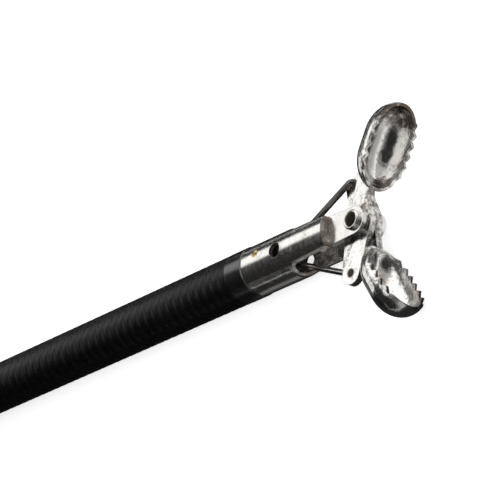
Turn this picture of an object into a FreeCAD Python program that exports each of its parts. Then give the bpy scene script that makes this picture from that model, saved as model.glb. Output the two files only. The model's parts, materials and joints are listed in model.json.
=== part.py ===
import FreeCAD, Part

import math
import os
import Sketcher

# Biopsy forceps, all lengths in millimetres and all angles in degrees.
# The origin is on the shaft's axis in the middle of the steel skirt.
# +X points to the jaws, +Z runs along the pivot rivet, and the jaws open in the XY plane.

doc = FreeCAD.newDocument("biopsy_forceps")
V = FreeCAD.Vector

# Driving dimensions

SIZES = {
    "skirt_r": 1.02, "skirt_bore_r": 0.84, "skirt_rear": -0.85,
    "pivot_x": 5.25, "half_opening": 60.0,
    "window_start": 1.55, "window_corner_r": 0.35, "strip_half": 0.68,
    "ear_root_half": 0.62, "ear_end_r": 0.57, "ear_face_z": 0.61, "ear_gap_half": 0.33,
    "step_x": 3.85, "bore_end": 3.25, "cross_hole_x": 1.15, "cross_hole_r": 0.30,
    "dimple_x": -0.02, "dimple_y": 0.24, "dimple_r": 0.14, "dimple_depth": 0.06,
    "rivet_r": 0.36, "rivet_bore_r": 0.27, "rivet_head_r": 0.42, "rivet_head_h": 0.16,
    "arm_thick": 0.30, "arm_off": 0.012, "arm_hole_r": 0.38, "arm_disc_r": 0.70,
    "cup_start": 1.33, "cup_tip": 4.88, "cup_heel_len": 1.45, "cup_nose_len": 1.38,
    "cup_half": 1.09, "cup_rise": 0.07, "cup_wall": 0.13,
    "tooth_pitch": 0.42, "tooth_height": 0.17, "tooth_start": 1.72, "rim_gap": 0.012,
    "tang_r": 2.01, "tang_spread": 45.2, "tang_end_r": 0.47, "tang_hole_r": 0.14, "tang_flat": 0.20,
    "wire_r": 0.125, "wire_bend_r": 0.14, "wire_plane": 0.15, "wire_length": 3.9, "wire_slope": 24.8,
    "sheath_r": 1.05, "collar_len": 1.0, "collar_bore_r": 0.5,
    "coil_x": -37.75, "coil_out_r": 14.7, "coil_in_r": 8.4, "layers": 6,
    "exit_turn": 30.0, "exit_lap": 0.5, "exit_lead": 6.5, "nose_lead": 7.0,
    "nose_x": -64.28, "handle_y": -9.0, "handle_z": 12.4,
    "boot_len": 24.0, "boot_tip_r": 1.7, "boot_root_r": 3.0, "boot_rib_r": 0.5, "boot_flange_r": 3.9,
    "boot_rib_count": 6, "boot_first_rib": 2.0, "boot_plain_len": 8.0, "boot_collar_len": 4.0, "boot_bore_len": 10.0,
    "cap_len": 13.0, "cap_r": 5.6, "cap_wall": 1.2, "cap_thread_len": 8.0,
    "shaft_len": 118.0, "shaft_r": 5.0, "shaft_bore_r": 1.6, "thread_len": 9.0, "thread_r": 4.4,
    "slot_half": 1.6, "travel": 8.0,
    "bush_len": 12.0, "bush_bore_r": 0.95, "rod_r": 0.9,
    "spool_len": 30.0, "spool_front": 48.0, "spool_bore_r": 5.08, "spool_waist_r": 7.6,
    "flange_r": 13.5, "flange_len": 5.0, "pin_r": 1.5, "pin_clear": 0.06,
    "bumper_len": 2.2, "bumper_r": 6.6, "bumper_gap": 0.3,
    "ring_out_r": 13.5, "ring_in_r": 10.0, "ring_half_width": 3.6, "neck_r": 6.2, "neck_len": 14.0,
    "socket_depth": 9.0, "tail_r": 3.9, "dowel_r": 1.0, "band_len": 6.0, "band_r": 5.5,
    "tie_width": 3.0, "tie_thick": 0.4,
}

sheet = doc.addObject("Spreadsheet::Sheet", "Sizes")
for row, (alias, value) in enumerate(SIZES.items(), start=1):
    sheet.set("A%d" % row, alias)
    sheet.set("B%d" % row, str(value))
    sheet.setAlias("B%d" % row, alias)
doc.recompute()


def size(alias):
    return SIZES[alias]


def bind(feature, prop, formula):
    """Ties a property to a formula of spreadsheet aliases, each written with a leading dollar sign."""
    feature.setExpression(prop, formula.replace("$", "Sizes."))


# Sketch helpers

def new_body(label):
    body = doc.addObject("PartDesign::Body", label)
    body.Label = label
    return body


def plane_of(body, role):
    return next(f for f in body.Origin.OriginFeatures if f.Role == role)


def sketch(body, role, shapes, offset=(0, 0, 0)):
    """Adds closed outlines on an origin plane; the offset is in the plane's own x, y and normal."""
    sk = body.newObject("Sketcher::SketchObject", "Outline")
    sk.AttachmentSupport = (plane_of(body, role), [""])
    sk.MapMode = "FlatFace"
    sk.AttachmentOffset = FreeCAD.Placement(V(*offset), FreeCAD.Rotation())
    for shape in shapes:
        sk.addGeometry(shape, False)
    return sk


def circle(x, y, r):
    return Part.Circle(V(x, y, 0), V(0, 0, 1), r)


def line(a, b):
    return Part.LineSegment(V(a[0], a[1], 0), V(b[0], b[1], 0))


def polygon(points):
    return [line(a, b) for a, b in zip(points, points[1:] + points[:1])]


def arc(a, mid, b):
    return Part.Arc(V(a[0], a[1], 0), V(mid[0], mid[1], 0), V(b[0], b[1], 0))


def box2d(x0, y0, x1, y1):
    return polygon([(x0, y0), (x1, y0), (x1, y1), (x0, y1)])


def polar(r, angle, centre=(0.0, 0.0)):
    a = math.radians(angle)
    return (centre[0] + r * math.cos(a), centre[1] + r * math.sin(a))


def pad(body, sk, length, formula=None, both=False, back=False):
    feature = body.newObject("PartDesign::Pad", "Pad")
    feature.Profile = sk
    feature.Length = length
    feature.Midplane = both
    feature.Reversed = back
    if formula:
        bind(feature, "Length", formula)
    sk.Visibility = False
    doc.recompute()
    return feature


def pocket(body, sk, length, formula=None, both=False, back=False):
    before = body.Shape.Volume
    feature = body.newObject("PartDesign::Pocket", "Pocket")
    feature.Profile = sk
    feature.Length = length
    feature.Midplane = both
    feature.Reversed = back
    if formula:
        bind(feature, "Length", formula)
    doc.recompute()
    if not body.Shape.Volume < before - 1e-6:
        raise RuntimeError("a pocket in %s cut nothing" % body.Label)
    return feature


def turn(body, sk, kind="PartDesign::Revolution", angle=360.0, both=False):
    """Turns an outline about the sketch's own x axis."""
    feature = body.newObject(kind, "Turned")
    feature.Profile = sk
    feature.ReferenceAxis = (sk, ["H_Axis"])
    feature.Angle = angle
    feature.Midplane = both
    doc.recompute()
    return feature


def turned(label, outline, at=(0, 0, 0)):
    """A body turned about the shaft's direction from an outline of (distance, radius) points."""
    body = new_body(label)
    turn(body, sketch(body, "XY_Plane", polygon(outline)))
    body.Placement.Base = V(*at)
    return body


# Steel skirt and clevis

def make_clevis():
    body = new_body("clevis")
    rear, end = size("skirt_rear"), size("pivot_x") + size("ear_end_r")
    r, px = size("skirt_r"), size("pivot_x")
    pad(body, sketch(body, "YZ_Plane", [circle(0, 0, r)], (0, 0, rear)), end - rear,
        "$pivot_x + $ear_end_r - $skirt_rear")
    pocket(body, sketch(body, "YZ_Plane", [circle(0, 0, size("skirt_bore_r"))], (0, 0, rear)),
           size("bore_end") - rear, "$bore_end - $skirt_rear", back=True)

    # side windows, which leave two strips that narrow to the ears
    start, corner = size("window_start"), size("window_corner_r")
    strip, root, tip = size("strip_half"), size("ear_root_half"), size("ear_end_r")
    root_x, out = size("step_x"), 2 * r
    for side in (1, -1):
        a, b = (start, side * out), (start, side * (strip + corner))
        mid = polar(corner, 180 + side * 45, (start + corner, side * (strip + corner)))
        c, d = (start + corner, side * strip), (root_x, side * root)
        e, f = (px, side * tip), polar(tip, side * 45, (px, 0))
        g, h = (px + tip, 0), (end + 1, 0)
        shapes = [line(a, b), arc(b, mid, c), line(c, d), line(d, e), arc(e, f, g)]
        shapes += [line(g, h), line(h, (end + 1, side * out)), line((end + 1, side * out), a)]
        pocket(body, sketch(body, "XY_Plane", shapes), 4 * r, "4 * $skirt_r", both=True)

    # flats on the ears, the slot between them, and the holes
    face, gap = size("ear_face_z"), size("ear_gap_half")
    for side in (1, -1):
        z0, z1 = sorted((side * face, side * out))
        pocket(body, sketch(body, "XZ_Plane", box2d(size("step_x"), z0, end + 1, z1)), 4 * r, both=True)
    slot = size("bore_end") - 0.6
    pocket(body, sketch(body, "XZ_Plane", box2d(slot, -gap, end + 1, gap)), 4 * r, both=True)
    pocket(body, sketch(body, "XY_Plane", [circle(px, 0, size("rivet_r"))]), 4 * r, both=True)
    pocket(body, sketch(body, "XY_Plane", [circle(size("cross_hole_x"), 0, size("cross_hole_r"))]),
           4 * r, both=True)
    dimple = sketch(body, "XY_Plane", [circle(size("dimple_x"), size("dimple_y"), size("dimple_r"))],
                    (0, 0, r - size("dimple_depth") - 0.02))
    pocket(body, dimple, 1.0, back=True)
    return body


def make_rivet():
    """Hollow rivet with a raised, rounded head at each end."""
    face, head = size("ear_face_z"), size("rivet_head_h")
    r, bore, wide = size("rivet_r"), size("rivet_bore_r"), size("rivet_head_r")
    body = new_body("pivot_rivet")
    soft = 0.05
    outline = []
    for s in (-1, 1):
        rim = [(s * face, r), (s * face, wide - 0.02), (s * (face + head - soft), wide - 0.02),
               (s * (face + head), wide - 0.02 - soft), (s * (face + head), bore + soft),
               (s * (face + head - soft), bore)]
        outline += rim[::-1] if s < 0 else rim
    turn(body, sketch(body, "XY_Plane", polygon(outline)))
    body.Placement = FreeCAD.Placement(V(size("pivot_x"), 0, 0), FreeCAD.Rotation(V(0, 1, 0), -90))
    return body


# Jaws: a cup with a toothed rim, an arm with the pivot hole, and a tang for the pull wire

def cup_outline(wall, side):
    """Half outline of the cup: a quarter ellipse at the heel, a straight side and another at the nose."""
    half = size("cup_half") - wall
    heel, nose = size("cup_heel_len") - wall, size("cup_nose_len") - wall
    x0, x1 = size("cup_start") + wall, size("cup_tip") - wall

    def quarter(x, length, first):
        ellipse = Part.Ellipse(V(x + length, 0, 0), V(x, half, 0), V(x, 0, 0))
        return Part.ArcOfEllipse(ellipse, math.radians(first), math.radians(first + 90))

    back = quarter(x0 + heel, heel, 90 if side > 0 else 180)
    front = quarter(x1 - nose, nose, 0 if side > 0 else 270)
    straight = line((x0 + heel, side * half), (x1 - nose, side * half))
    return [back, straight, front], (x0, 0.0), (x1, 0.0)


def full_outline(wall):
    """The cup seen into its mouth: both halves of the outline in one closed loop."""
    upper, _, _ = cup_outline(wall, 1)
    lower, _, _ = cup_outline(wall, -1)
    return upper + lower


def rim_wave(side):
    """Tooth line of one jaw, as points from the heel to beyond the nose."""
    pitch, h, gap = size("tooth_pitch"), size("tooth_height"), size("rim_gap")
    x, sign = size("tooth_start"), 1
    points = [(size("cup_start") - 0.03, gap), (x, gap)]
    while x + pitch < size("cup_tip") - 0.35:
        x += pitch / 2
        points.append((x, sign * side * h / 2 + gap))
        sign = -sign
    points += [(x + pitch / 4, gap), (size("cup_tip") + 0.4, gap)]
    return points


def tang_angle():
    """Turn of a tang from its own cup's axis, which leaves room for the other cup when the jaws are open."""
    return 180.0 - 2 * size("half_opening") - size("tang_spread")


def make_jaw(label, side):
    """One jaw in its closed position; side is +1 for the cup on +Y and -1 for the one on -Y."""
    body = new_body(label)
    rise, h = size("cup_rise"), size("tooth_height")

    shell, a, d = cup_outline(0.0, side)
    turn(body, sketch(body, "XY_Plane", shell + [line(d, a)], (0, side * rise, 0)), angle=180.0, both=True)
    # walls from the turned shell down to the tooth tips; the XZ plane's normal is -Y
    skirt = sketch(body, "XZ_Plane", full_outline(0.0), (0, 0, -side * rise))
    pad(body, skirt, rise + h / 2 + 0.02, "$cup_rise + $tooth_height / 2 + 0.02", back=side < 0)

    # flat arm with a round eye, a neck under the cup and a tang on the other side of the axis
    disc, tr = size("arm_disc_r"), size("tang_end_r")
    tang = polar(size("tang_r"), 180 + side * tang_angle())
    neck = [(0.30, side * 0.632), (1.02, side * 0.80), (1.70, side * 0.93), (2.30, side * 0.80),
            (2.30, side * 0.02), (1.34, side * 0.02), (0.64, -side * 0.284)]
    z0 = size("arm_off") if side > 0 else -size("arm_off") - size("arm_thick")
    thick = size("arm_thick")
    pad(body, sketch(body, "XY_Plane", [circle(0, 0, disc)], (0, 0, z0)), thick, "$arm_thick")
    pad(body, sketch(body, "XY_Plane", polygon(neck), (0, 0, z0)), thick, "$arm_thick")
    along = 180 + side * tang_angle()
    flank = math.degrees(math.asin((disc - tr) / size("tang_r")))
    p1, p2 = polar(disc, along + 90 - flank), polar(tr, along + 90 - flank, tang)
    p3, p4 = polar(tr, along - 90 + flank, tang), polar(disc, along - 90 + flank)
    shank = [line(p1, p2), arc(p2, polar(tr, along, tang), p3), line(p3, p4), line(p4, p1)]
    pad(body, sketch(body, "XY_Plane", shank, (0, 0, z0)), thick, "$arm_thick")

    # hollow cup, tooth line, pivot hole and wire hole
    hollow, a, d = cup_outline(size("cup_wall"), side)
    inner = sketch(body, "XY_Plane", hollow + [line(d, a)], (0, side * rise, 0))
    turn(body, inner, "PartDesign::Groove", 180.0, both=True)
    mouth = sketch(body, "XZ_Plane", full_outline(size("cup_wall")), (0, 0, -side * rise))
    pocket(body, mouth, 1.0, back=side > 0)
    wave = [(x, side * y) for x, y in rim_wave(side)]
    below = -side * 0.8
    teeth = wave + [(wave[-1][0], below), (wave[0][0], below)]
    pocket(body, sketch(body, "XY_Plane", polygon(teeth)), 4.0, both=True)
    pocket(body, sketch(body, "XY_Plane", [circle(0, 0, size("arm_hole_r"))]), 4.0, both=True)
    pocket(body, sketch(body, "XY_Plane", [circle(tang[0], tang[1], size("tang_hole_r"))]), 4.0, both=True)
    if side < 0:
        # this tang ends square, just past its hole and in line with the wire of the open jaw
        outward = 90 + size("wire_slope") + size("half_opening")
        flat = polar(size("tang_flat"), outward, tang)
        a, b = polar(1.0, outward + 90, flat), polar(1.0, outward - 90, flat)
        waste = polygon([a, b, polar(1.0, outward, b), polar(1.0, outward, a)])
        pocket(body, sketch(body, "XY_Plane", waste), 4.0, both=True)

    rest = FreeCAD.Rotation(V(0, 0, 1), side * size("half_opening"))
    body.Placement = FreeCAD.Placement(V(size("pivot_x"), 0, 0), rest)
    return body


def make_wire(label, side):
    """Pull wire of one jaw, drawn along -X with its end bent into the tang; side as in make_jaw."""
    body = new_body(label)
    plane, bend, r = -side * size("wire_plane"), size("wire_bend_r"), size("wire_r")
    top = side * (size("arm_off") + size("arm_thick") + 0.01)
    k = bend * math.sqrt(0.5)
    path = body.newObject("Sketcher::SketchObject", "Run")
    path.AttachmentSupport = (plane_of(body, "XZ_Plane"), [""])
    path.MapMode = "FlatFace"
    lower, upper = (-bend, plane), (0.0, plane + side * bend)
    path.addGeometry(line((-size("wire_length"), plane), lower), False)
    path.addGeometry(arc(lower, (-bend + k, plane + side * (bend - k)), upper), False)
    path.addGeometry(line(upper, (0.0, top)), False)
    section = sketch(body, "YZ_Plane", [circle(0, plane, r)], (0, 0, -size("wire_length")))
    pipe = body.newObject("PartDesign::AdditivePipe", "Pipe")
    pipe.Profile = section
    pipe.Spine = (path, ["Edge1", "Edge2", "Edge3"])
    doc.recompute()

    # the hole's place with the jaws open
    angle = 180 + side * (tang_angle() + size("half_opening"))
    x, y = polar(size("tang_r"), angle, (size("pivot_x"), 0.0))
    slope = FreeCAD.Rotation(V(0, 0, 1), -side * size("wire_slope"))
    body.Placement = FreeCAD.Placement(V(x, y, 0), slope)
    return body


# Coated coil sheath: collar, front run, stored coil, rear run

def make_collar():
    r, rear = size("sheath_r"), size("skirt_rear")
    length, bore = size("collar_len"), size("collar_bore_r")
    outline = [(-length, bore), (-length, r), (-0.06, r), (0.0, r - 0.03), (0.0, bore)]
    return turned("sheath_collar", outline, (rear, 0, 0))


def make_coil():
    r = size("sheath_r")
    body = new_body("sheath_coil")
    inner, outer = size("coil_in_r") - r, size("coil_out_r") + r
    sk = sketch(body, "XY_Plane", [circle(0, 0, outer), circle(0, 0, inner)])
    height = size("layers") * 2 * r
    ring = pad(body, sk, height, "$layers * 2 * $sheath_r")
    edges = ["Edge%d" % (i + 1) for i, e in enumerate(ring.Shape.Edges) if e.Length > 6 * inner]
    fillet = body.newObject("PartDesign::Fillet", "Round")
    fillet.Base = (ring, edges)
    fillet.Radius = 0.9 * r
    doc.recompute()
    body.Placement.Base = V(size("coil_x"), -size("coil_out_r"), -r)
    return body


def make_tie(label, angle):
    """Strap round the coil's turns at one angle."""
    r, t = size("sheath_r"), size("tie_thick")
    inner, outer = size("coil_in_r") - r, size("coil_out_r") + r
    low, high = -r, (2 * size("layers") - 1) * r
    body = new_body(label)
    hoop = box2d(inner - t, low, outer + t, high + t)
    hole = box2d(inner, low + t, outer, high)
    pad(body, sketch(body, "XZ_Plane", hoop), size("tie_width"), "$tie_width", both=True)
    pocket(body, sketch(body, "XZ_Plane", hole), 2 * size("tie_width"), both=True)
    turn_by = FreeCAD.Rotation(V(0, 0, 1), angle)
    body.Placement = FreeCAD.Placement(V(size("coil_x"), -size("coil_out_r"), 0), turn_by)
    return body


def tube_path(points):
    """Straight runs joined by tangent arcs; prints each arc's radius."""
    points = [V(*p) for p in points]
    edges, start = [], points[0]
    for a, b, c in zip(points, points[1:], points[2:]):
        back, ahead = (a - b), (c - b)
        half = (math.pi - back.getAngle(ahead)) / 2
        trim = 0.45 * min(back.Length, ahead.Length)
        p, q = b + back.normalize() * trim, b + ahead.normalize() * trim
        radius = trim / math.tan(half)
        print("arc radius %.1f mm at a turn of %.0f degrees" % (radius, math.degrees(2 * half)))
        middle = (p + q) * 0.5
        centre_way = (middle - b).normalize()
        centre = b + centre_way * (radius / math.cos(half))
        edges.append(Part.LineSegment(start, p).toShape())
        edges.append(Part.Arc(p, centre - centre_way * radius, q).toShape())
        start = q
    edges.append(Part.LineSegment(start, points[-1]).toShape())
    return Part.Wire(edges)


def make_tube(label, points):
    """A plain round tube along a route, checked against its section times its length."""
    r = size("sheath_r")
    path = tube_path(points)
    way = V(*points[1]) - V(*points[0])
    section = Part.Wire([Part.Circle(V(*points[0]), way, r).toShape()])
    solid = path.makePipeShell([section], True, True)
    expected = math.pi * r * r * path.Length
    print("%s: %.1f mm long, volume %.3f of %.3f" % (label, path.Length, solid.Volume, expected))
    obj = doc.addObject("Part::Feature", label)
    obj.Label = label
    obj.Shape = solid
    return obj


def sheath_routes():
    """Route points of the two uncoiled stretches."""
    start = size("skirt_rear") - size("collar_len")
    coil, out, nose = size("coil_x"), size("coil_out_r"), size("nose_x")
    top = (2 * size("layers") - 2) * size("sheath_r")
    front = [(start, 0, 0), (coil, 0, 0)]

    # the sheath leaves the top of the coil a little further round than it came in
    around = 90 + size("exit_turn")
    leave = V(*polar(out, around, (coil, -out)), top)
    ahead = V(*polar(1.0, around + 90), 0)
    y, z = size("handle_y"), size("handle_z")
    rear = [tuple(leave - ahead * size("exit_lap")), tuple(leave + ahead * size("exit_lead")),
            (nose + size("nose_lead"), y, z), (nose, y, z)]
    return front, rear


# Handle, built along -X from the boot's tip

def at_handle(body, back):
    """Places a handle piece; back is its distance behind the boot's tip."""
    body.Placement.Base = V(size("nose_x") - back, size("handle_y"), size("handle_z"))
    return body


def make_boot():
    """Tapered strain relief with rounded ribs and a flange held by the nose cap."""
    length, tip, root = size("boot_len"), size("boot_tip_r"), size("boot_root_r")
    rib, flange = size("boot_rib_r"), size("boot_flange_r")
    body = new_body("strain_relief")
    ribs, start = size("boot_rib_count"), size("boot_first_rib")
    pitch = (length - start - size("boot_plain_len")) / ribs
    collar = length - size("boot_collar_len")
    shapes, last = [], (0.0, 0.0)

    def radius(x):
        return tip + (root - tip) * x / length

    def go(point):
        nonlocal last
        shapes.append(line(last, point))
        last = point

    go((0.0, tip - 0.3))
    go((-0.4, tip))
    for k in range(int(ribs)):
        x = start + k * pitch
        go((-x, radius(x)))
        end = (-(x + 2 * rib), radius(x + 2 * rib))
        shapes.append(arc(last, (-(x + rib), radius(x + rib) + rib), end))
        last = end
    go((-collar, radius(collar)))
    go((-collar, flange))
    go((-length, flange))
    go((-length, 0.0))
    go((0.0, 0.0))
    turn(body, sketch(body, "XY_Plane", shapes))
    bore = sketch(body, "YZ_Plane", [circle(0, 0, size("rod_r") + 0.15)], (0, 0, -length))
    pocket(body, bore, size("boot_bore_len"), "$boot_bore_len", back=True)
    return at_handle(body, 0.0)


def make_cap():
    """Knurled nose cap, with a lip in front of the boot's flange."""
    length, r, wall = size("cap_len"), size("cap_r"), size("cap_wall")
    lip, flange, thread = size("boot_root_r") + 0.1, size("boot_flange_r"), size("thread_r")
    inside = -length + size("cap_thread_len")
    outline = [(0, lip), (0, r - 1.0), (-1.0, r), (-length, r), (-length, thread), (inside, thread),
               (inside, flange), (-wall, flange), (-wall, lip)]
    body = turned("nose_cap", outline)
    flute = sketch(body, "YZ_Plane", [circle(r + 0.25, 0, 0.55)], (0, 0, -length))
    cut = pocket(body, flute, length - 3.0, back=True)
    pattern = body.newObject("PartDesign::PolarPattern", "Flutes")
    pattern.Originals = [cut]
    pattern.Axis = (flute, ["N_Axis"])
    pattern.Angle = 360.0
    pattern.Occurrences = 18
    body.Tip = pattern
    doc.recompute()
    return at_handle(body, size("boot_len") - 4.0 - size("cap_wall"))


def shaft_start():
    return size("boot_len")


def make_shaft():
    """Handle shaft: threaded nose, long round body, cross slot and a tail for the thumb ring."""
    length, r, thread = size("shaft_len"), size("shaft_r"), size("thread_r")
    tail, socket = size("tail_r"), size("socket_depth")
    nose = size("thread_len")
    body = new_body("handle_shaft")
    outline = [(0, 0), (0, thread - 0.4), (-0.4, thread), (-nose, thread), (-nose, r - 0.4),
               (-nose - 0.4, r), (-length + socket, r), (-length + socket, tail),
               (-length + 0.5, tail), (-length, tail - 0.5), (-length, 0)]
    turn(body, sketch(body, "XY_Plane", polygon(outline)))
    pin = pin_back() - shaft_start()
    half, clear = size("slot_half"), size("pin_clear")
    bore_end = pin + size("travel") + 4.0
    pocket(body, sketch(body, "YZ_Plane", [circle(0, 0, size("shaft_bore_r"))]), bore_end)
    x0, x1 = -(pin - clear), -(pin + size("travel") + clear)
    slot = [line((x0, half), (x1, half)), arc((x1, half), (x1 - half, 0), (x1, -half)),
            line((x1, -half), (x0, -half)), arc((x0, -half), (x0 + half, 0), (x0, half))]
    pocket(body, sketch(body, "XZ_Plane", slot), 4 * r, both=True)
    hole = [circle(-length + socket / 2, 0, size("dowel_r"))]
    pocket(body, sketch(body, "XZ_Plane", hole), 4 * r, both=True)
    return at_handle(body, shaft_start())


def make_bush():
    outline = [(0, size("bush_bore_r")), (0, size("shaft_bore_r")), (-size("bush_len"), size("shaft_bore_r")),
               (-size("bush_len"), size("bush_bore_r"))]
    return at_handle(turned("guide_bush", outline), shaft_start())


def pin_back():
    return size("spool_front") + size("spool_len") / 2


def make_rod():
    """Steel push rod from inside the boot to the wire clamp."""
    start = size("boot_len") - 2.0
    end = pin_back() - 3.0
    outline = [(0, 0), (0, size("rod_r")), (start - end, size("rod_r")), (start - end, 0)]
    return at_handle(turned("push_rod", outline), start)


def make_pin():
    """Cross pin that joins the spool to the rod through the slot."""
    r, half = size("pin_r"), size("spool_waist_r") - 1.2
    body = new_body("cross_pin")
    sk = sketch(body, "XZ_Plane", [circle(0, 0, r)])
    pad(body, sk, 2 * half, "2 * ($spool_waist_r - 1.2)", both=True)
    return at_handle(body, pin_back())


def make_clamp():
    """Brass clamp block in the shaft's bore, between the rod's end and the cross pin."""
    body = new_body("wire_clamp")
    r = size("shaft_bore_r") - 0.08
    pad(body, sketch(body, "YZ_Plane", [circle(0, 0, r)], (0, 0, -1.6)), 4.6)
    pocket(body, sketch(body, "XZ_Plane", [circle(0, 0, size("pin_r"))]), 4 * r, both=True)
    return at_handle(body, pin_back())


def make_clamp_screw():
    """Grub screw with a cross slot, seated in the end of the cross pin's bore."""
    r = 0.8
    body = new_body("clamp_screw")
    pad(body, sketch(body, "XZ_Plane", [circle(0, 0, r)], (0, 0, -size("spool_waist_r") + 1.2)), 1.0, back=True)
    slot = sketch(body, "XZ_Plane", box2d(-r, -0.15, r, 0.15), (0, 0, -size("spool_waist_r") + 0.2))
    pocket(body, slot, 0.4, back=True)
    return at_handle(body, pin_back())


def make_spool_half(label, side):
    """One half of the finger spool, split on the shaft's XZ plane; side is +1 for +Y."""
    length, bore, waist = size("spool_len"), size("spool_bore_r"), size("spool_waist_r")
    wide, rim = size("flange_r"), size("flange_len")
    body = new_body(label)
    y = [bore, wide - 1.2, wide, waist]
    edge, sweep = 1.2, 6.0
    k = math.sqrt(0.5)
    right = [line((0, y[0]), (0, y[1])), arc((0, y[1]), (-edge + edge * k, wide - edge + edge * k), (-edge, wide)),
             line((-edge, wide), (-rim + edge, wide)),
             arc((-rim + edge, wide), (-rim + edge - edge * k, wide - edge + edge * k), (-rim, wide - edge))]
    concave_end = -rim - sweep * 0.75
    mid = (-rim - 1.2, waist + (wide - edge - waist) * 0.28)
    right.append(arc((-rim, wide - edge), mid, (concave_end, waist)))
    centre = -length / 2
    left = [line((concave_end, waist), (2 * centre - concave_end, waist)),
            arc((2 * centre - concave_end, waist), (2 * centre - mid[0], mid[1]), (-length + rim, wide - edge)),
            arc((-length + rim, wide - edge), (-length + rim - edge + edge * k, wide - edge + edge * k),
                (-length + rim - edge, wide)),
            line((-length + rim - edge, wide), (-length + edge, wide)),
            arc((-length + edge, wide), (-length + edge - edge * k, wide - edge + edge * k), (-length, wide - edge)),
            line((-length, wide - edge), (-length, bore)), line((-length, bore), (0, bore))]
    shapes = right + left
    if side < 0:
        for shape in shapes:
            shape.mirror(V(0, 0, 0), V(1, 0, 0))
    turn(body, sketch(body, "XY_Plane", shapes), angle=180.0, both=True)
    hole = sketch(body, "XZ_Plane", [circle(centre, 0, size("pin_r"))])
    half = waist - 1.2
    pocket(body, hole, 2 * half, "2 * ($spool_waist_r - 1.2)", both=True)
    if side > 0:
        seat = sketch(body, "XZ_Plane", [circle(centre, 0, 0.8)], (0, 0, -half + 0.1))
        pocket(body, seat, 3.0)
    return at_handle(body, size("spool_front"))


def make_bumper(label, back):
    """Soft stop ring on the shaft, with a rounded outside."""
    length, r, bore = size("bumper_len"), size("bumper_r"), size("shaft_r")
    body = new_body(label)
    shapes = [line((0, bore), (0, r - 0.7)), arc((0, r - 0.7), (-length / 2, r), (-length, r - 0.7)),
              line((-length, r - 0.7), (-length, bore)), line((-length, bore), (0, bore))]
    turn(body, sketch(body, "XY_Plane", shapes))
    return at_handle(body, back)


def make_band():
    length, r = size("band_len"), size("band_r")
    outline = [(0, size("shaft_r")), (0, r - 0.2), (-0.2, r), (-length + 0.2, r), (-length, r - 0.2),
               (-length, size("shaft_r"))]
    back = shaft_start() + size("shaft_len") - size("socket_depth") - size("band_len") - 3.0
    return at_handle(turned("size_band", outline), back)


def make_thumb_ring():
    """Thumb ring with a rounded section, standing on the floor, and a socket for the shaft's tail."""
    out, hole, half = size("ring_out_r"), size("ring_in_r"), size("ring_half_width")
    neck, length, depth = size("neck_r"), size("neck_len"), size("socket_depth")
    body = new_body("thumb_ring")
    mean, swell = (out + hole) / 2, (out - hole) / 2
    centre = -length - out + 2.0
    # the section stands on the ring's turning plane; its long way is the ring's width
    section = [line((mean - swell, -half + swell), (mean - swell, half - swell)),
               arc((mean - swell, half - swell), (mean, half), (mean + swell, half - swell)),
               line((mean + swell, half - swell), (mean + swell, -half + swell)),
               arc((mean + swell, -half + swell), (mean, -half), (mean - swell, -half + swell))]
    sk = sketch(body, "XY_Plane", section, (centre, 0, 0))
    ring = body.newObject("PartDesign::Revolution", "Turned")
    ring.Profile = sk
    ring.ReferenceAxis = (sk, ["V_Axis"])
    ring.Angle = 360.0
    doc.recompute()
    stem = [(0, 0), (0, neck - 0.8), (-0.8, neck), (-6.0, neck), (-length + 1.0, half + 1.0),
            (-length - 0.6, half), (-length - 0.6, 0)]
    turn(body, sketch(body, "XY_Plane", polygon(stem)))
    pocket(body, sketch(body, "YZ_Plane", [circle(0, 0, size("tail_r"))]), depth, "$socket_depth")
    dowel = sketch(body, "XZ_Plane", [circle(-depth / 2, 0, size("dowel_r"))])
    pocket(body, dowel, 4 * neck, both=True)
    return at_handle(body, shaft_start() + size("shaft_len") - depth)


def make_dowel():
    """Steel dowel that locks the thumb ring to the shaft's tail."""
    body = new_body("ring_dowel")
    half = size("neck_r") - 0.15
    pad(body, sketch(body, "XZ_Plane", [circle(0, 0, size("dowel_r"))]), 2 * half, both=True)
    back = shaft_start() + size("shaft_len") - size("socket_depth") / 2
    return at_handle(body, back)


# Build, check and write

front_route, rear_route = sheath_routes()
nodes = [
    make_clevis(), make_rivet(),
    make_jaw("jaw_upper", 1), make_jaw("jaw_lower", -1),
    make_wire("wire_upper", 1), make_wire("wire_lower", -1),
    make_collar(), make_tube("sheath_front", front_route), make_coil(), make_tube("sheath_rear", rear_route),
    make_tie("coil_tie_left", 200.0), make_tie("coil_tie_right", 320.0),
    make_boot(), make_cap(), make_bush(), make_shaft(), make_rod(),
    make_spool_half("spool_half_left", 1), make_spool_half("spool_half_right", -1),
    make_pin(), make_clamp(), make_clamp_screw(),
    make_bumper("bumper_front", size("spool_front") - size("bumper_gap") - size("bumper_len")),
    make_bumper("bumper_rear", size("spool_front") + size("spool_len") + size("travel") + size("bumper_gap")),
    make_band(), make_thumb_ring(), make_dowel(),
]
doc.recompute()

for obj in doc.Objects:
    if "Invalid" in obj.State or "Error" in obj.State:
        raise RuntimeError("%s (%s) is not valid: %s" % (obj.Name, obj.Label, obj.State))

os.makedirs("parts", exist_ok=True)
for node in nodes:
    shape = node.Shape
    if shape.isNull() or not shape.isValid() or not shape.Solids:
        raise RuntimeError("%s has no valid solid" % node.Label)
    b = shape.BoundBox
    print("%-18s vol %10.3f  x %8.2f %8.2f  y %7.2f %7.2f  z %7.2f %7.2f  solids %d" % (
        node.Label, shape.Volume, b.XMin, b.XMax, b.YMin, b.YMax, b.ZMin, b.ZMax, len(shape.Solids)))
    shape.exportStep("parts/%s.step" % node.Label)
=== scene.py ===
"""Looks, light and camera for a flexible biopsy forceps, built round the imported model. Metres."""
import json
import math

import bmesh
import bpy
from mathutils import Matrix, Vector


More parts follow.
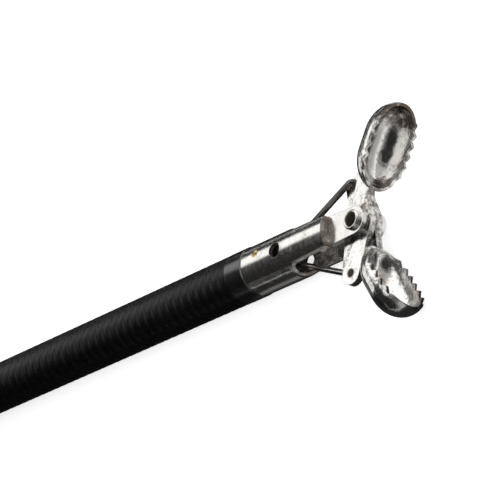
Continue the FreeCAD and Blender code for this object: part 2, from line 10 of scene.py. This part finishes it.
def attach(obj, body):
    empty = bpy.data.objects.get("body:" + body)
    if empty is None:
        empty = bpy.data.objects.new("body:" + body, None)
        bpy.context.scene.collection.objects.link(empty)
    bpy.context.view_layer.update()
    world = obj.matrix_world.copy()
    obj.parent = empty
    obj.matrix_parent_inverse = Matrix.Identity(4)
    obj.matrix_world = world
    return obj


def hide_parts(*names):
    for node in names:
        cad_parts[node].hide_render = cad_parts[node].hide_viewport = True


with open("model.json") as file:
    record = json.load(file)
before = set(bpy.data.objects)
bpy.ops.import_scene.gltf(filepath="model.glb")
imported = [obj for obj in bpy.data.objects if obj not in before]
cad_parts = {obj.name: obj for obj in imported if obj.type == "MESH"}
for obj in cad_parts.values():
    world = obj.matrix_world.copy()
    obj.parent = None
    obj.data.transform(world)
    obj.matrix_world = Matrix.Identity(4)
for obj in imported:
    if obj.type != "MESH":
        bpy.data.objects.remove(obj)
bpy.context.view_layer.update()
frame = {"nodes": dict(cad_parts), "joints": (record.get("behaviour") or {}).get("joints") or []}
MM = 0.001


# Camera at the photograph's viewing angle, looking down on the open jaws from their front

def make_camera():
    data = bpy.data.cameras.new("camera")
    data.sensor_width = 36.0
    data.lens = 198.77
    data.clip_start, data.clip_end = 0.005, 20.0
    camera = bpy.data.objects.new("camera", data)
    bpy.context.collection.objects.link(camera)
    right = (0.65577, -0.01388, -0.75484)
    up = (0.30127, 0.92158, 0.24479)
    back = (0.69225, -0.38793, 0.60852)
    place = (0.075431, -0.041968, 0.067561)
    turn = Matrix((right, up, back)).transposed()
    camera.matrix_world = Matrix.Translation(place) @ turn.to_4x4()
    bpy.context.scene.camera = camera


make_camera()


# Shader trees

class Value:
    """A socket in a shader tree; arithmetic on it adds Math nodes."""

    def __init__(self, tree, socket):
        self.tree, self.socket = tree, socket

    def _math(self, operation, *terms):
        node = self.tree.nodes.new("ShaderNodeMath")
        node.operation = operation
        for slot, term in zip(node.inputs, terms):
            if isinstance(term, Value):
                self.tree.links.new(term.socket, slot)
            else:
                slot.default_value = term
        return Value(self.tree, node.outputs[0])

    def __add__(self, other):
        return self._math("ADD", self, other)

    def __radd__(self, other):
        return self._math("ADD", other, self)

    def __sub__(self, other):
        return self._math("SUBTRACT", self, other)

    def __rsub__(self, other):
        return self._math("SUBTRACT", other, self)

    def __mul__(self, other):
        return self._math("MULTIPLY", self, other)

    def __rmul__(self, other):
        return self._math("MULTIPLY", other, self)

    def __truediv__(self, other):
        return self._math("DIVIDE", self, other)

    def __rtruediv__(self, other):
        return self._math("DIVIDE", other, self)

    def __pow__(self, other):
        return self._math("POWER", self, other)

    def __abs__(self):
        return self._math("ABSOLUTE", self)


class ShaderTree:
    """The nodes of a material or of the surroundings; places and sizes in it are millimetres."""

    def __init__(self, owner, output_kind="OutputMaterial"):
        owner.use_nodes = True
        self.owner, self.tree = owner, owner.node_tree
        self.tree.nodes.clear()
        self.out = self.tree.nodes.new("ShaderNode" + output_kind)

    def node(self, kind, sockets=None, output=0, stops=None, **settings):
        node = self.tree.nodes.new("ShaderNode" + kind)
        for key, value in settings.items():
            setattr(node, key, value)
        if stops:
            ramp = node.color_ramp
            while len(ramp.elements) < len(stops):
                ramp.elements.new(0.5)
            for element, (place, colour) in zip(ramp.elements, stops):
                element.position, element.color = place, (*colour, 1.0)
        for key, value in (sockets or {}).items():
            if isinstance(value, Value):
                self.tree.links.new(value.socket, node.inputs[key])
            else:
                node.inputs[key].default_value = value
        return Value(self.tree, node.outputs[output])

    def math(self, operation, *terms):
        return self.node("Math", dict(enumerate(terms)), operation=operation)

    def rise(self, value, start, end):
        """Smooth step from 0 at start to 1 at end; start may be the larger."""
        return self.node("MapRange", {"Value": value, "From Min": start, "From Max": end},
                         interpolation_type="SMOOTHSTEP")

    def place(self, scale=(1, 1, 1), turn=(0, 0, 0), shift=(0, 0, 0)):
        """Object coordinates in millimetres, times scale, turned and shifted."""
        point = self.node("TexCoord", output="Object")
        return self.node("Mapping", {"Vector": point, "Location": shift, "Rotation": turn,
                                     "Scale": tuple(factor / MM for factor in scale)})

    def axes(self, shift=(0, 0, 0)):
        """The three coordinates."""
        point = self.place(shift=shift)
        return [self.node("SeparateXYZ", {0: point}, output=axis) for axis in "XYZ"]


class Finish(ShaderTree):
    """One surface finish: a material with a Principled shader and the nodes that feed it."""

    CLOUD_LOW, CLOUD_HIGH = 0.3, 0.7

    def __init__(self, name, **constants):
        super().__init__(bpy.data.materials.new(name))
        self.shader = self.tree.nodes.new("ShaderNodeBsdfPrincipled")
        self.tree.links.new(self.shader.outputs[0], self.out.inputs[0])
        for key, value in constants.items():
            self.shader.inputs[key.replace("_", " ")].default_value = value

    def feed(self, **values):
        """Link values to the shader's sockets of these names."""
        for key, value in values.items():
            self.tree.links.new(value.socket, self.shader.inputs[key.replace("_", " ")])

    def noise(self, scale, detail, rough=0.55, turn=(0, 0, 0), shift=(0, 0, 0)):
        """Clouds, about as many in a millimetre along each axis as scale says."""
        point = self.place(scale, turn, shift)
        return self.node("TexNoise", {"Vector": point, "Scale": 1.0, "Detail": detail, "Roughness": rough})

    def ramp(self, factor, low, high, start=CLOUD_LOW, end=CLOUD_HIGH):
        """Colour from low, where factor is start, to high, where it is end."""
        return self.node("ValToRGB", {"Fac": factor}, stops=[(start, low), (end, high)])

    def between(self, cloud, low, high):
        """Number from low in the dips of the clouds to high on their tops."""
        return self.node("MapRange", {"Value": cloud, "To Min": low, "To Max": high,
                                      "From Min": self.CLOUD_LOW, "From Max": self.CLOUD_HIGH})

    def blend(self, mask, colour, over):
        """The colour with another one over it where mask is 1."""
        return self.node("Mix", {0: mask, 6: colour, 7: (*over, 1.0)}, output=2, data_type="RGBA")

    def soft_edges(self, radius):
        """Normal of the surface with its edges rounded."""
        return self.node("Bevel", {"Radius": radius * MM}, samples=6)

    def bump(self, height, depth, normal=None):
        """Normal bent by a field of heights from 0 to 1."""
        sockets = {"Height": height, "Strength": 1.0, "Distance": depth * MM}
        if normal is not None:
            sockets["Normal"] = normal
        return self.node("Bump", sockets)


# Masks, 1 where a mark lies on the steel; places are millimetres on the parts at rest

joints = {joint["name"]: joint for joint in frame["joints"]}
PIVOT = [metres / MM for metres in joints["upper_jaw_hinge"]["pos_m"][:2]]
REST_ANGLE = math.radians(-joints["upper_jaw_hinge"]["range_deg"][0])
WIRE_HOLE = [metres / MM for metres in joints["upper_wire_hinge"]["pos_m"][:2]]
# Centre of the painted shade on the jaw arms beside the pivot, between the ears
ARM_SHADE_CENTRE = (5.95, 0.1)
LOWER_HEEL = (5.3, -2.35)
CROSS_HOLE = (1.15, 0.0)
WELD = (-0.02, 0.24)
STEP_X = 3.85
BORE_R, BORE_END = 0.9, 3.3
# Places along a cup from the pivot, and the nose's length and half width to the middle of its wall
CUP_MIDDLE, NOSE_START, NOSE_LENGTH, CUP_HALF = 2.9, 3.5, 1.315, 1.025


def away_from(finish, centre):
    """Distance from a line along Z."""
    x, y, _ = finish.axes()
    return ((x - centre[0]) ** 2.0 + (y - centre[1]) ** 2.0) ** 0.5


def around(centre, inner, outer):
    """Mask round a line along Z, full up to the inner radius and gone at the outer."""
    def where(finish):
        return finish.rise(away_from(finish, centre), outer, inner)
    return where


def mottled(where, share):
    """The same mask broken up by clouds; share is its mean strength."""
    def broken(finish):
        cloud = finish.noise((3.0, 3.0, 3.0), 6.0, 0.7, shift=(1.0, 4.0, 2.0))
        return where(finish) * finish.between(cloud, share - 0.9, share + 0.9)
    return broken


def cup_axes(finish, side):
    """Distances along a cup from the pivot, off the plane of its teeth, and along the pivot.

    side is +1 for the upper jaw and -1 for the lower.
    """
    x, y, z = finish.axes()
    cos, sin = math.cos(REST_ANGLE), side * math.sin(REST_ANGLE)
    ahead = x - PIVOT[0]
    return ahead * cos + y * sin, y * cos - ahead * sin, z


def cup_nose(finish):
    """Mask of the inside and the rim of the upper cup's nose, which ends in half an ellipsoid."""
    along, depth, across = cup_axes(finish, 1)
    beyond = finish.math("MAXIMUM", along - NOSE_START, 0.0)
    wall = (beyond / NOSE_LENGTH) ** 2.0 + (depth ** 2.0 + across ** 2.0) / CUP_HALF ** 2
    inside = finish.rise(wall, 1.06, 0.94)
    rim = finish.rise(abs(depth), 0.18, 0.10)
    return finish.math("MAXIMUM", inside, rim) * finish.rise(along, 3.7, 4.25)


def cup_floor(finish):
    """Soft mask along the middle of the upper cup, where a darker reflection is painted."""
    along, _, across = cup_axes(finish, 1)
    return finish.rise(abs(along - CUP_MIDDLE), 1.4, 0.6) * finish.rise(abs(across), 0.45, 0.10)


def tooth_line(side):
    """Mask along the teeth of the cup on this side, where painted shade goes."""
    def where(finish):
        _, depth, _ = cup_axes(finish, side)
        return finish.rise(abs(depth), 0.13, 0.06)
    return where


def weld_spot(radius):
    """Mask of the ragged weld on the skirt's upper side."""
    def where(finish):
        ragged = finish.noise((6.0, 6.0, 6.0), 4.0, 0.7)
        away = away_from(finish, WELD) + (ragged - 0.5) * 0.25
        _, _, z = finish.axes()
        return finish.rise(away, radius, radius * 0.7) * finish.math("GREATER_THAN", z, 0.0)
    return where


def step_face(finish):
    """Mask of the face where the skirt steps down to the ears, which is darkened with painted shade."""
    x, _, _ = finish.axes()
    return finish.rise(abs(x - STEP_X), 0.05, 0.02)


def inside_skirt(finish):
    """Mask of the skirt's bore, where painted shade goes and the steel is less metallic."""
    x, y, z = finish.axes()
    near_axis = finish.rise((y ** 2.0 + z ** 2.0) ** 0.5, BORE_R + 0.07, BORE_R)
    return near_axis * finish.rise(x, BORE_END + 0.1, BORE_END)


# Finishes

def metal(name, low, high, rough, lines=(9.0, 9.0, 9.0), depth=0.004, soft_edge=0.03, dents=None,
          stain=None, marks=(), raw=None):
    """Bare metal: cloudy colour, fine marks drawn out along one direction, shallow dents and soft edges.

    lines is how many of the fine marks a millimetre holds along each axis, and depth how deep they are.
    dents is the (size, depth) of the dents, marks are (mask, colour) pairs, and raw is the mask of an
    unpolished face.
    """
    finish = Finish(name, Metallic=1.0)
    cloud = finish.noise((0.9, 0.9, 0.9), 3.0)
    grain = finish.noise(lines, 5.0, 0.65)
    colour = finish.ramp(cloud, low, high)
    if stain:
        spots = finish.noise((2.2, 2.2, 2.2), 7.0, 0.75, shift=(3.0, 1.0, 2.0))
        colour = finish.blend(finish.between(spots, -1.5, 0.9), colour, stain)
    for where, mark in marks:
        colour = finish.blend(where(finish), colour, mark)
    normal = finish.bump(grain, depth, finish.soft_edges(soft_edge))
    if dents:
        dent_size, dent_depth = dents
        hollows = finish.noise((1 / dent_size,) * 3, 2.0, 0.5, shift=(7.0, 2.0, 5.0))
        normal = finish.bump(hollows, dent_depth, normal)
    finish.feed(Base_Color=colour, Roughness=finish.between(grain, *rough), Normal=normal)
    if raw:
        finish.feed(Metallic=1.0 - raw(finish) * 0.85)
    return finish.owner


def moulded(name, low, high, rough, pebble, depth, soft_edge=0.2, **constants):
    """Moulded plastic or rubber: slowly changing colour, and a skin with so many pebbles in a millimetre."""
    finish = Finish(name, **constants)
    cloud = finish.noise((0.12, 0.12, 0.12), 3.0)
    skin = finish.noise((pebble, pebble, pebble), 3.0)
    scuff = finish.noise((0.5, 3.0, 3.0), 6.0, 0.7, turn=(0.3, 0.2, 0.5))
    finish.feed(Base_Color=finish.ramp(cloud * 0.7 + skin * 0.3, low, high),
                Roughness=finish.between(skin * 0.5 + scuff * 0.5, *rough),
                Normal=finish.bump(skin, depth, finish.soft_edges(soft_edge)))
    return finish.owner


SILVER, WARM = (0.70, 0.685, 0.665), (0.92, 0.90, 0.875)
PALE, IVORY = (0.82, 0.81, 0.79), (0.98, 0.97, 0.955)
# Some of these colours are painted light: those for the rivet's bore, the skirt's inside, its step face, its
# cross hole, the cup teeth and the jaw arms by the pivot are painted shade, and the grey along the cup's
# floor is a painted darker reflection; the near-black one is also a dark joint where the wire ends
HOLE_SHADE_AND_JOINT_DARK, BORE, UMBER = (0.035, 0.030, 0.027), (0.10, 0.085, 0.07), (0.13, 0.105, 0.085)
TEETH_SHADE, SKIRT_INSIDE_SHADE, SHADE = (0.17, 0.16, 0.15), (0.20, 0.17, 0.14), (0.25, 0.22, 0.195)
STAIN, TAN, GREY = (0.36, 0.31, 0.26), (0.42, 0.32, 0.25), (0.42, 0.405, 0.39)
GOLD, BURN = (0.60, 0.46, 0.20), (0.10, 0.08, 0.03)


def clevis_steel():
    """Turned steel with painted shade on the step face, in the cross hole and inside the less metallic bore,
    and a gold weld with a burnt middle.
    """
    marks = [
        # painted shade on the step face
        (mottled(step_face, 0.9), SHADE),
        # painted shade inside the skirt's bore
        (mottled(inside_skirt, 0.8), SKIRT_INSIDE_SHADE),
        # painted shade in the cross hole
        (around(CROSS_HOLE, 0.28, 0.34), HOLE_SHADE_AND_JOINT_DARK),
        (weld_spot(0.20), GOLD),
        (weld_spot(0.07), BURN),
    ]
    return metal("turned_steel", SILVER, WARM, (0.13, 0.24), lines=(8.0, 2.0, 2.0), depth=0.002,
                 dents=(0.45, 0.006), stain=STAIN, marks=marks, raw=inside_skirt)


def rivet_steel():
    """Steel of the hollow rivet, less metallic in its bore, which is painted dark brown as shade."""
    # painted shade in the rivet's bore
    bore = around(PIVOT, 0.28, 0.31)
    return metal("rivet_steel", SILVER, WARM, (0.14, 0.24), lines=(8.0, 8.0, 8.0), depth=0.002,
                 marks=[(bore, BORE)], raw=bore)


def jaw_steel(name, marks):
    """Stained and dented steel of a cup, which has some marks of its own."""
    return metal(name, PALE, IVORY, (0.12, 0.23), lines=(7.0, 7.0, 7.0), dents=(0.30, 0.02), stain=STAIN,
                 marks=marks)


def upper_jaw_steel():
    """Brown painted shade on the arms beside the pivot, brown on the nose, a grey painted reflection along
    the cup's floor, painted shade along the teeth and a dark rim round the wire's end.
    """
    return jaw_steel("jaw_steel", [
        # painted darker reflection along the cup's middle
        (cup_floor, GREY),
        # painted shade along the teeth
        (mottled(tooth_line(1), 0.5), TEETH_SHADE),
        # painted shade on the arms beside the pivot
        (mottled(around(ARM_SHADE_CENTRE, 0.7, 1.4), 0.45), UMBER),
        (mottled(cup_nose, 1.2), UMBER),
        (around(WIRE_HOLE, 0.15, 0.23), UMBER),
    ])


def lower_jaw_steel():
    """Tan on the heel, brown painted shade on the arms beside the pivot, and painted shade along the teeth.
    """
    return jaw_steel("lower_jaw_steel", [
        (mottled(around(LOWER_HEEL, 0.3, 0.75), 0.5), TAN),
        # painted shade along the teeth
        (mottled(tooth_line(-1), 0.4), TEETH_SHADE),
        # painted shade on the arms beside the pivot
        (mottled(around(ARM_SHADE_CENTRE, 0.7, 1.4), 0.45), UMBER),
    ])


finishes = {
    "clevis": clevis_steel(),
    "pivot_rivet": rivet_steel(),
    "jaw_upper": upper_jaw_steel(),
    "jaw_lower": lower_jaw_steel(),
    "wire_upper": metal("drawn_wire", (0.42, 0.40, 0.38), (0.66, 0.64, 0.61), (0.14, 0.24),
                        lines=(1.0, 20.0, 20.0), depth=0.002,
                        marks=[(around(WIRE_HOLE, 0.15, 0.19), HOLE_SHADE_AND_JOINT_DARK)]),
    # The lower wire is the same steel as the upper one, painted much darker as shade
    "wire_lower": metal("dark_wire", (0.07, 0.065, 0.06), (0.20, 0.19, 0.175), (0.16, 0.28),
                        lines=(1.0, 20.0, 20.0), depth=0.002),
    "sheath_collar": moulded("smooth_black", (0.002, 0.0018, 0.0018), (0.005, 0.0045, 0.0045), (0.20, 0.28),
                             pebble=2.0, depth=0.003, soft_edge=0.03, IOR=2.0),
    "coil_tie_left": moulded("white_strap", (0.70, 0.70, 0.67), (0.80, 0.80, 0.77), (0.5, 0.65),
                             pebble=3.0, depth=0.02),
    "strain_relief": moulded("black_rubber", (0.018, 0.018, 0.019), (0.03, 0.03, 0.032), (0.5, 0.62),
                             pebble=5.0, depth=0.02),
    "nose_cap": metal("satin_aluminium", (0.60, 0.61, 0.63), (0.70, 0.71, 0.73), (0.28, 0.38),
                      lines=(12.0, 1.5, 1.5), soft_edge=0.1),
    "guide_bush": metal("turned_brass", (0.66, 0.47, 0.20), (0.76, 0.57, 0.28), (0.2, 0.3),
                        lines=(12.0, 1.0, 1.0), soft_edge=0.05),
    "handle_shaft": moulded("pale_plastic", (0.60, 0.61, 0.63), (0.67, 0.68, 0.70), (0.32, 0.44),
                            pebble=5.0, depth=0.006),
    "push_rod": metal("drawn_rod", (0.52, 0.52, 0.53), (0.62, 0.62, 0.63), (0.2, 0.3),
                      lines=(0.3, 9.0, 9.0), depth=0.003, soft_edge=0.05),
    "spool_half_left": moulded("blue_plastic", (0.045, 0.15, 0.34), (0.065, 0.19, 0.41), (0.32, 0.45),
                               pebble=5.0, depth=0.006),
    "cross_pin": metal("ground_pin", (0.52, 0.52, 0.53), (0.64, 0.64, 0.65), (0.18, 0.28),
                       lines=(6.0, 6.0, 6.0), depth=0.003, soft_edge=0.05),
    "wire_clamp": metal("clamp_brass", (0.62, 0.45, 0.20), (0.74, 0.56, 0.28), (0.22, 0.34),
                        lines=(6.0, 6.0, 6.0), soft_edge=0.05),
    "clamp_screw": metal("blackened_screw", (0.10, 0.10, 0.11), (0.20, 0.20, 0.21), (0.3, 0.42),
                         lines=(8.0, 8.0, 8.0), soft_edge=0.05),
    "bumper_front": moulded("soft_rubber", (0.03, 0.03, 0.034), (0.045, 0.045, 0.05), (0.55, 0.7),
                            pebble=5.0, depth=0.02),
    "size_band": moulded("band_blue", (0.03, 0.16, 0.40), (0.05, 0.2, 0.46), (0.22, 0.32),
                         pebble=3.0, depth=0.004),
}
ALIKE = {
    "coil_tie_right": "coil_tie_left",
    "spool_half_right": "spool_half_left",
    "bumper_rear": "bumper_front",
    "ring_dowel": "cross_pin",
    "thumb_ring": "handle_shaft",
}


def dress_nodes():
    """The CAD nodes keep their shape and take a finish, except those that the sheath's mesh replaces."""
    for name, node in frame["nodes"].items():
        material = finishes.get(ALIKE.get(name, name))
        if material is None:
            continue
        for slot in node.material_slots:
            slot.material = material


dress_nodes()


# The sheath: one line from the collar through the stored coil to the strain relief

SHEATH_R = 1.05 * MM
RING_PITCH, RING_DEPTH = 0.47 * MM, 0.032 * MM
RIDGED_LENGTH, BUMP_START = 40.0 * MM, 38.5 * MM
PLAIN_STEP = 1.1 * MM
COIL_X, COIL_OUT, COIL_IN = -37.75, 14.7, 8.4
COIL_LAYERS, LAYER_TURNS, CLIMB_TURNS = 6, 3.5, 0.5
TURN_POINTS = 24
HANDLE_Y, HANDLE_Z = -9.0, 12.4


def sheath_route():
    """Control points of the whole sheath: front run, six layers of turns, rear run up to the handle."""
    gap = 2 * SHEATH_R / MM
    top = (COIL_LAYERS - 1) * gap
    # The spline runs inside its control points, so those of a turn stand further out
    swell = 1 / (0.75 + 0.25 * math.cos(2 * math.pi / TURN_POINTS))
    points = [(-1.85, 0.0, 0.0), (-20.0, 0.0, 0.0), (-35.8, 0.0, 0.0)]

    def add(turns, radius, height):
        angle = math.radians(90.0) + 2 * math.pi * turns
        r = radius * swell
        points.append((COIL_X + r * math.cos(angle), -COIL_OUT + r * math.sin(angle), height))

    for layer in range(COIL_LAYERS):
        first, last = (COIL_OUT, COIL_IN) if layer % 2 == 0 else (COIL_IN, COIL_OUT)
        for k in range(int(LAYER_TURNS * TURN_POINTS)):
            turns = (k + 0.5) / TURN_POINTS
            wound = turns / (LAYER_TURNS - CLIMB_TURNS)
            climb = max(wound - 1.0, 0.0) * (LAYER_TURNS - CLIMB_TURNS) / CLIMB_TURNS
            climb = climb if layer < COIL_LAYERS - 1 else 0.0
            radius = first + (last - first) * min(wound, 1.0)
            add(layer * LAYER_TURNS + turns, radius, (layer + climb) * gap)
    for k in range(2):
        add((k + 0.5) / TURN_POINTS, COIL_OUT, top)
    points += [(-46.77, -2.94, top), (-50.73, -5.22, top)]
    points += [(-57.28, HANDLE_Y, HANDLE_Z), (-64.28, HANDLE_Y, HANDLE_Z)]
    return [Vector(point) * MM for point in points]


def from_curve(kind, points, **settings):
    """Mesh of an open curve with these points."""
    curve = bpy.data.curves.new("sheath_route", "CURVE")
    curve.dimensions = "3D"
    spline = curve.splines.new(kind)
    spline.points.add(len(points) - 1)
    for place, point in zip(spline.points, points):
        place.co = (*point, 1.0)
    if kind == "NURBS":
        spline.order_u = 3
        spline.use_endpoint_u = True
    for key, value in settings.items():
        setattr(curve, key, value)
    holder = bpy.data.objects.new("sheath_route", curve)
    bpy.context.collection.objects.link(holder)
    bpy.context.view_layer.update()
    mesh = bpy.data.meshes.new_from_object(holder)
    bpy.data.objects.remove(holder)
    bpy.data.curves.remove(curve)
    return mesh


def spread(line, fine_length, fine, coarse):
    """Points along the line, each with its distance: a fine step apart at first and a coarse one beyond."""
    out, left, travelled = [(line[0], 0.0)], fine, 0.0
    for a, b in zip(line, line[1:]):
        run = (b - a).length
        done = 0.0
        while run - done >= left:
            done += left
            out.append((a.lerp(b, done / run), travelled + done))
            left = fine if travelled + done < fine_length else coarse
        left -= run - done
        travelled += run
    out.append((line[-1], travelled))
    return out


def ring_dip(distance, around_share):
    """Depth below the sheath's outside between two turns of the coiled wire under its coat."""
    phase = distance / RING_PITCH + around_share
    dip = RING_DEPTH * (1 - abs(math.sin(math.pi * phase)))
    fade_in = distance / RING_PITCH
    fade_out = (RIDGED_LENGTH - distance) / (4 * RING_PITCH)
    return dip * max(0.0, min(1.0, fade_in, fade_out))


def coated_coil():
    """Thin black coat over a coiled wire, whose rings are bump where the mesh has no ridges."""
    finish = Finish("coated_coil", IOR=1.4)
    along = finish.node("Attribute", output="Fac", attribute_name="along")
    ring = abs(finish.math("SINE", along * (math.pi / RING_PITCH)))
    speck = finish.noise((3.0, 3.0, 3.0), 5.0, 0.6)
    far = finish.math("GREATER_THAN", along, BUMP_START)
    colour = finish.ramp(speck, (0.0012, 0.0011, 0.0012), (0.0032, 0.0029, 0.0028), start=0.35)
    finish.feed(Base_Color=colour, Roughness=finish.between(speck, 0.30, 0.42),
                Normal=finish.bump(ring * far + speck * 0.11, RING_DEPTH / MM))
    return finish.owner


def make_sheath():
    line = [vertex.co.copy() for vertex in from_curve("NURBS", sheath_route(), resolution_u=8).vertices]
    path = spread(line, RIDGED_LENGTH, RING_PITCH / 10, PLAIN_STEP)
    mesh = from_curve("POLY", [point for point, _ in path], bevel_depth=SHEATH_R, bevel_resolution=12,
                      use_fill_caps=True)
    sides = len(mesh.vertices) // len(path)
    along = mesh.attributes.new("along", "FLOAT", "POINT")
    for k, (centre, distance) in enumerate(path):
        for side in range(sides):
            vertex = mesh.vertices[k * sides + side]
            along.data[vertex.index].value = distance
            shrink = ring_dip(distance, side / sides) / SHEATH_R
            vertex.co = centre + (vertex.co - centre) * (1 - shrink)
    for face in mesh.polygons:
        face.use_smooth = len(face.vertices) == 4
    mesh.materials.clear()
    mesh.materials.append(coated_coil())
    piece = bpy.data.objects.new("sheath", mesh)
    bpy.context.collection.objects.link(piece)
    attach(piece, "base")
    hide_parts("sheath_front", "sheath_coil", "sheath_rear")


make_sheath()


# Studio: pale floor, white surroundings, soft lamps, and a dome and a card that only reflections show

BLACK, GLOWING_WHITE = (0.0, 0.0, 0.0, 1.0), (1.0, 0.995, 0.985, 1.0)
FLOOR_GREY, WHITE = (0.8, 0.8, 0.8, 1.0), (1.0, 1.0, 1.0, 1.0)
FLOOR_SIZE, FLOOR_Z, FLOOR_GLOW = 12.0, -1.1 * MM, 0.72
WORLD_LIGHT = 0.4
DOME_R, DOME_LEVEL, DOME_STRENGTH = 3.0, 0.34, 1.25
# Azimuth, elevation, inner and outer radius in degrees, and level
DOME_PATCHES = [
    (195, 20, 48, 75, 0.015),  # dark behind the shaft
    (122, -1, 22, 37, 0.03),  # dark along the floor beside it
    (168, 10, 7, 15, 0.75),  # low light behind the shaft
    (146, 34, 10, 18, 1.0),  # where the key lamp is
    (0, 90, 24, 40, 1.0),  # straight above
    (80, 34, 28, 40, 1.0),  # beside the upper jaw
    (-31, 40, 19, 38, 0.015),  # dark where the camera is
]
CARD_WIDTH, CARD_DEPTH, CARD_CENTRE = 68.0 * MM, 120.0 * MM, (-22.0 * MM, 0.0, -1.06 * MM)


class Staging(ShaderTree):
    """Shader of the floor, the surroundings or a card."""

    def finish(self, shader):
        self.tree.links.new(shader.socket, self.out.inputs[0])

    def seen_rays(self):
        """1 for rays from the camera, a reflection or a pane of glass."""
        kinds = ("Is Camera Ray", "Is Glossy Ray", "Is Transmission Ray")
        camera, glossy, glass = [self.node("LightPath", output=kind) for kind in kinds]
        return self.math("MINIMUM", camera + glossy + glass, 1.0)

    def graded(self, level, strength):
        """Black where level is 0, glowing where it is 1."""
        black = self.node("BsdfDiffuse", {"Color": BLACK})
        glow = self.node("Emission", {"Color": GLOWING_WHITE, "Strength": strength})
        return self.node("MixShader", {0: level, 1: black, 2: glow})


def add_stage(name, bm, staging):
    """Object made from a bmesh, which is not part of the forceps."""
    mesh = bpy.data.meshes.new(name)
    bm.to_mesh(mesh)
    bm.free()
    mesh.materials.append(staging.owner)
    thing = bpy.data.objects.new(name, mesh)
    bpy.context.collection.objects.link(thing)
    return thing


def make_plane(name, width, depth, centre, staging):
    bm = bmesh.new()
    bmesh.ops.create_grid(bm, x_segments=1, y_segments=1, size=0.5)
    bmesh.ops.scale(bm, vec=(width, depth, 1.0), verts=bm.verts)
    thing = add_stage(name, bm, staging)
    thing.location = centre
    return thing


def only_reflected(thing):
    thing.visible_camera = thing.visible_diffuse = thing.visible_transmission = thing.visible_shadow = False


def make_floor():
    staging = Staging(bpy.data.materials.new("floor_white"))
    paint = staging.node("BsdfDiffuse", {"Color": FLOOR_GREY})
    glow = staging.node("Emission", {"Color": WHITE, "Strength": FLOOR_GLOW})
    lit = staging.node("AddShader", {0: paint, 1: glow})
    staging.finish(staging.node("MixShader", {0: staging.seen_rays(), 1: paint, 2: lit}))
    make_plane("floor", FLOOR_SIZE, FLOOR_SIZE, (0.0, 0.0, FLOOR_Z), staging)


def make_world():
    world = bpy.data.worlds.new("surroundings")
    bpy.context.scene.world = world
    staging = Staging(world, "OutputWorld")
    strength = staging.seen_rays() * (1.0 - WORLD_LIGHT) + WORLD_LIGHT
    staging.finish(staging.node("Background", {"Color": WHITE, "Strength": strength}))


def toward(azimuth, elevation):
    """Direction in degrees from +X towards +Y and up."""
    a, e = math.radians(azimuth), math.radians(elevation)
    return Vector((math.cos(a) * math.cos(e), math.sin(a) * math.cos(e), math.sin(e)))


def make_lamp(name, azimuth, elevation, distance, width, power):
    """Soft square lamp; the dome stands for it in reflections."""
    data = bpy.data.lights.new(name, "AREA")
    data.shape, data.size, data.energy = "SQUARE", width, power
    lamp = bpy.data.objects.new(name, data)
    bpy.context.collection.objects.link(lamp)
    place = toward(azimuth, elevation) * distance
    lamp.matrix_world = Matrix.Translation(place) @ (-place).to_track_quat("-Z", "Y").to_matrix().to_4x4()
    lamp.visible_camera = lamp.visible_glossy = False


def make_dome():
    """Dome of graded card with light and dark patches."""
    staging = Staging(bpy.data.materials.new("dome_card"))
    point = staging.node("TexCoord", output="Object")
    ray = staging.node("VectorMath", {0: point}, operation="NORMALIZE")
    level = DOME_LEVEL
    for azimuth, elevation, inner, outer, patch_level in DOME_PATCHES:
        centre = toward(azimuth, elevation)
        nearness = staging.node("VectorMath", {0: ray, 1: centre}, output="Value", operation="DOT_PRODUCT")
        cover = staging.rise(nearness, math.cos(math.radians(outer)), math.cos(math.radians(inner)))
        level = level + (patch_level - level) * cover
    staging.finish(staging.graded(level, DOME_STRENGTH))
    bm = bmesh.new()
    bmesh.ops.create_icosphere(bm, subdivisions=5, radius=DOME_R)
    only_reflected(add_stage("dome", bm, staging))


def make_low_card():
    """Card on the floor that only reflections show: black as painted shade of the floor, paler in a strip
    along the shaft and white under the upper jaw.
    """
    staging = Staging(bpy.data.materials.new("low_card"))
    x, y, _ = staging.axes(shift=[metres / MM for metres in CARD_CENTRE])
    strip = staging.rise(y, -2.6, -2.1) * staging.rise(y, -1.2, -1.6) * staging.rise(x, -2.6, -1.8)
    front = staging.rise(x, 4.0, 5.0) * staging.rise(y, -1.4, -0.4)
    level = staging.math("MAXIMUM", strip * 0.14, front * 0.8) + 0.02
    staging.finish(staging.graded(level, 1.0))
    only_reflected(make_plane("low_card", CARD_WIDTH, CARD_DEPTH, CARD_CENTRE, staging))


make_floor()
make_world()
make_dome()
make_low_card()
make_lamp("key", azimuth=149, elevation=33, distance=1.6, width=0.9, power=8.5)
make_lamp("fill", azimuth=-40, elevation=55, distance=1.6, width=1.4, power=6.5)

bpy.context.scene.view_settings.view_transform = "Standard"
